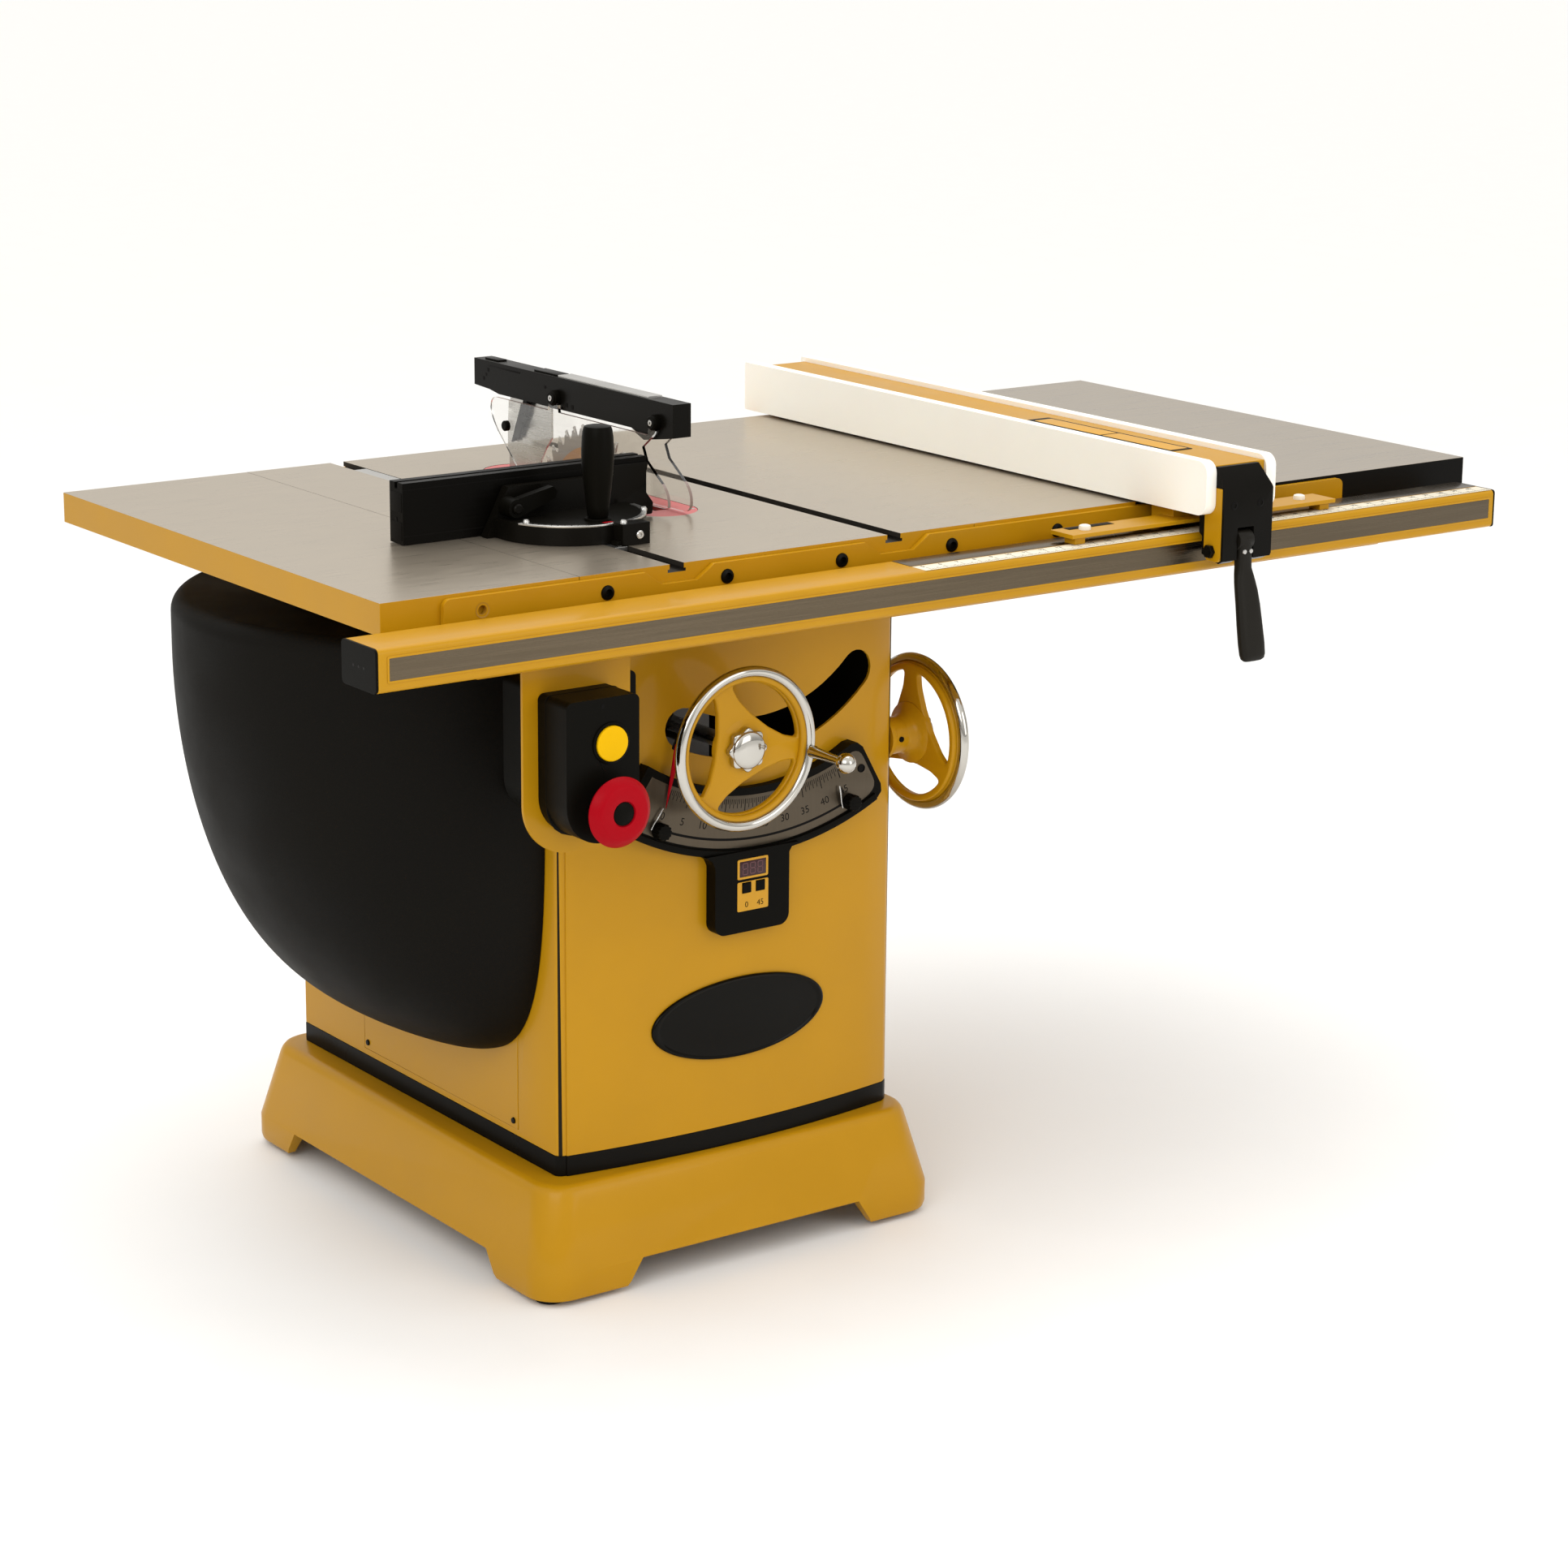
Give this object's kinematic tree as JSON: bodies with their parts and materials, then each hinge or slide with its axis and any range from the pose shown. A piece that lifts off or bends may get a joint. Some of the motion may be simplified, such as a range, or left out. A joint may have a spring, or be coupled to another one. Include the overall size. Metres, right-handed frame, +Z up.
{
  "type": "cabinet table saw",
  "caption": "Left-tilting cabinet table saw with cast-iron top, extension table, rip fence on a front rail, miter gauge, blade guard, two handwheels and a motor cover.",
  "frame": {"origin": "on the floor, under the middle of the whole machine's box", "axes": "+X to the operator's right along the fence rail, +Y to the back, +Z up"},
  "size_m": [1.6984, 1.0004, 1.0124],
  "materials": {
    "yellow_paint": "gloss powder coat",
    "cast_iron_ground": "ground and brushed",
    "steel": "machined",
    "chrome": "polished",
    "black_plastic": "fine moulded grain",
    "black_metal": "satin black",
    "rubber": "matt",
    "red_plastic": "satin",
    "red_insert": "satin red coat",
    "start_yellow": "gloss",
    "laminate": "textured laminate on a board, black edges",
    "uhmw": "smooth white polyethylene",
    "clear_plastic": "clear polycarbonate",
    "wheel_rim": "polished rim on painted spokes",
    "black_alloy": "black anodised"
  },
  "bodies": {
    "stand": {"base_casting": "yellow_paint", "foot_front_left": "rubber", "foot_front_right": "rubber", "foot_rear_left": "rubber", "foot_rear_right": "rubber", "plinth_band": "black_plastic", "cabinet_shell": "yellow_paint", "side_panel": "yellow_paint", "dust_port": "black_plastic", "table_main": "cast_iron_ground", "wing_left": "cast_iron_ground", "wing_right": "cast_iron_ground", "extension_table": "laminate", "throat_insert": "red_insert", "front_rail_angle": "yellow_paint", "fence_rail": "yellow_paint", "rail_cap_left": "black_plastic", "rear_rail": "yellow_paint", "bevel_housing": "black_plastic", "switch_plate": "yellow_paint", "switch_box": "black_plastic", "trunnion_bracket_front": "cast_iron_ground", "trunnion_bracket_rear": "cast_iron_ground"},
    "tilt_wheel": {"tilt_handwheel": "wheel_rim"},
    "tilt_crank": {"tilt_crank": "chrome"},
    "tilt_lock_knob": {"tilt_lock_knob": "chrome"},
    "cradle": {"trunnion_cradle": "cast_iron_ground"},
    "height_wheel": {"height_handwheel": "wheel_rim"},
    "height_crank": {"height_crank": "chrome"},
    "height_lock_knob": {"height_lock_knob": "chrome"},
    "lift": {"arbor_bracket": "cast_iron_ground", "motor_body": "black_metal", "drive_belt": "rubber", "riving_knife": "steel", "guard_arm": "black_metal"},
    "arbor": {"arbor_shaft": "steel", "saw_blade": "steel", "arbor_nut": "steel"},
    "motor_shaft": {"motor_shaft": "steel"},
    "shield_left": {"shield_left": "clear_plastic"},
    "shield_right": {"shield_right": "clear_plastic"},
    "kickback_pawls": {"kickback_pawls": "black_metal"},
    "motor_cover": {"motor_cover": "black_plastic"},
    "cover_latch": {"cover_latch": "black_plastic"},
    "set_button_zero": {"set_button_zero": "black_plastic"},
    "set_button_full": {"set_button_full": "black_plastic"},
    "bevel_stop_low": {"bevel_stop_low": "black_plastic"},
    "bevel_stop_high": {"bevel_stop_high": "black_plastic"},
    "start_button": {"start_button": "start_yellow"},
    "stop_button": {"stop_button": "red_plastic"},
    "fence": {"fence_body": "yellow_paint", "fence_board_left": "uhmw", "fence_board_right": "uhmw", "fence_head": "black_plastic"},
    "fence_lever": {"fence_lever": "black_plastic"},
    "miter_bar": {"miter_bar": "steel"},
    "miter_head": {"miter_head": "black_metal"},
    "miter_fence": {"miter_fence": "black_alloy"},
    "miter_grip": {"miter_grip": "black_plastic"},
    "miter_clamp": {"miter_clamp": "black_plastic"}
  },
  "joints": [
    {"name": "tilt_wheel_turn", "type": "hinge", "parent": "stand", "child": "tilt_wheel", "pos_m": [0.00515, -0.21415, 0.597], "axis": [1, 0, 0], "range_deg": [0, 5400]},
    {"name": "tilt_crank_spin", "type": "hinge", "parent": "tilt_wheel", "child": "tilt_crank", "pos_m": [0.05515, -0.137, 0.55065], "axis": [1, 0, 0], "continuous": true},
    {"name": "tilt_lock_turn", "type": "hinge", "parent": "tilt_wheel", "child": "tilt_lock_knob", "pos_m": [0.05515, -0.21415, 0.597], "axis": [1, 0, 0], "range_deg": [0, 270]},
    {"name": "cradle_tilt", "type": "hinge", "parent": "stand", "child": "cradle", "pos_m": [-0.24885, 0.07985, 0.874], "axis": [0, -1, 0], "range_deg": [0, 45]},
    {"name": "height_wheel_turn", "type": "hinge", "parent": "cradle", "child": "height_wheel", "pos_m": [-0.31883, -0.32015, 0.65071], "axis": [0, -1, 0], "range_deg": [0, 3600]},
    {"name": "height_crank_spin", "type": "hinge", "parent": "height_wheel", "child": "height_crank", "pos_m": [-0.22993, -0.38015, 0.63663], "axis": [0, -1, 0], "continuous": true},
    {"name": "height_lock_turn", "type": "hinge", "parent": "height_wheel", "child": "height_lock_knob", "pos_m": [-0.31883, -0.36015, 0.65071], "axis": [0, -1, 0], "range_deg": [0, 270]},
    {"name": "lift_slide", "type": "slide", "parent": "cradle", "child": "lift", "axis": [0, 0, 1], "range_m": [-0.082, 0]},
    {"name": "arbor_spin", "type": "hinge", "parent": "lift", "child": "arbor", "pos_m": [-0.28485, 0.09685, 0.831], "axis": [1, 0, 0], "continuous": true},
    {"name": "motor_spin", "type": "hinge", "parent": "lift", "child": "motor_shaft", "pos_m": [-0.32485, 0.10985, 0.64], "axis": [1, 0, 0], "continuous": true},
    {"name": "shield_left_float", "type": "slide", "parent": "lift", "child": "shield_left", "axis": [0, 0, 1], "range_m": [0, 0.082]},
    {"name": "shield_right_float", "type": "slide", "parent": "lift", "child": "shield_right", "axis": [0, 0, 1], "range_m": [0, 0.082]},
    {"name": "pawls_swing", "type": "hinge", "parent": "lift", "child": "kickback_pawls", "pos_m": [-0.23985, 0.23985, 0.968], "axis": [1, 0, 0], "range_deg": [0, 60]},
    {"name": "cover_door", "type": "hinge", "parent": "stand", "child": "motor_cover", "pos_m": [-0.52085, 0.36585, 0.5], "axis": [0, 0, -1], "range_deg": [0, 100]},
    {"name": "cover_latch_turn", "type": "hinge", "parent": "motor_cover", "child": "cover_latch", "pos_m": [-0.54685, -0.22615, 0.62], "axis": [0, -1, 0], "range_deg": [0, 90]},
    {"name": "set_zero_press", "type": "slide", "parent": "stand", "child": "set_button_zero", "axis": [0, 1, 0], "range_m": [0, 0.001], "stiffness_N_per_m": 400},
    {"name": "set_full_press", "type": "slide", "parent": "stand", "child": "set_button_full", "axis": [0, 1, 0], "range_m": [0, 0.001], "stiffness_N_per_m": 400},
    {"name": "stop_low_slide", "type": "hinge", "parent": "stand", "child": "bevel_stop_low", "pos_m": [-0.24885, -0.28015, 0.874], "axis": [0, -1, 0], "range_deg": [0, 18]},
    {"name": "stop_high_slide", "type": "hinge", "parent": "stand", "child": "bevel_stop_high", "pos_m": [-0.24885, -0.28015, 0.874], "axis": [0, -1, 0], "range_deg": [-18, 0]},
    {"name": "start_press", "type": "slide", "parent": "stand", "child": "start_button", "axis": [0, 1, 0], "range_m": [0, 0.004], "stiffness_N_per_m": 500},
    {"name": "stop_press", "type": "slide", "parent": "stand", "child": "stop_button", "axis": [0, 1, 0], "range_m": [0, 0.006], "stiffness_N_per_m": 500},
    {"name": "fence_slide", "type": "slide", "parent": "stand", "child": "fence", "axis": [1, 0, 0], "range_m": [-0.46, 0.3]},
    {"name": "fence_lever_lift", "type": "hinge", "parent": "fence", "child": "fence_lever", "pos_m": [0.32415, -0.46515, 0.846], "axis": [-1, 0, 0], "range_deg": [0, 80]},
    {"name": "miter_slide", "type": "slide", "parent": "stand", "child": "miter_bar", "axis": [0, 1, 0], "range_m": [-0.3, 0.25]},
    {"name": "miter_swivel", "type": "hinge", "parent": "miter_bar", "child": "miter_head", "pos_m": [-0.40085, -0.09415, 0.88], "axis": [0, 0, 1], "range_deg": [-5, 60]},
    {"name": "miter_fence_shift", "type": "slide", "parent": "miter_head", "child": "miter_fence", "axis": [1, 0, 0], "range_m": [-0.12, 0]},
    {"name": "miter_grip_turn", "type": "hinge", "parent": "miter_head", "child": "miter_grip", "pos_m": [-0.39885, -0.15515, 0.94], "axis": [0, 0, 1], "range_deg": [0, 270]},
    {"name": "miter_clamp_flip", "type": "hinge", "parent": "miter_head", "child": "miter_clamp", "pos_m": [-0.47685, -0.09015, 0.91], "axis": [0, -1, 0], "range_deg": [0, 70]}
  ],
  "couplings": [
    {"joint": "cradle_tilt", "follows": "tilt_wheel_turn", "ratio": 0.0083333},
    {"joint": "lift_slide", "follows": "height_wheel_turn", "m_per_rad": -0.0013051},
    {"joint": "shield_left_float", "follows": "height_wheel_turn", "m_per_rad": 0.0013051},
    {"joint": "shield_right_float", "follows": "height_wheel_turn", "m_per_rad": 0.0013051},
    {"joint": "pawls_swing", "follows": "height_wheel_turn", "ratio": 0.016667},
    {"joint": "miter_fence_shift", "follows": "tilt_wheel_turn", "m_per_rad": -0.00084},
    {"joint": "motor_spin", "follows": "arbor_spin", "ratio": 1}
  ]
}
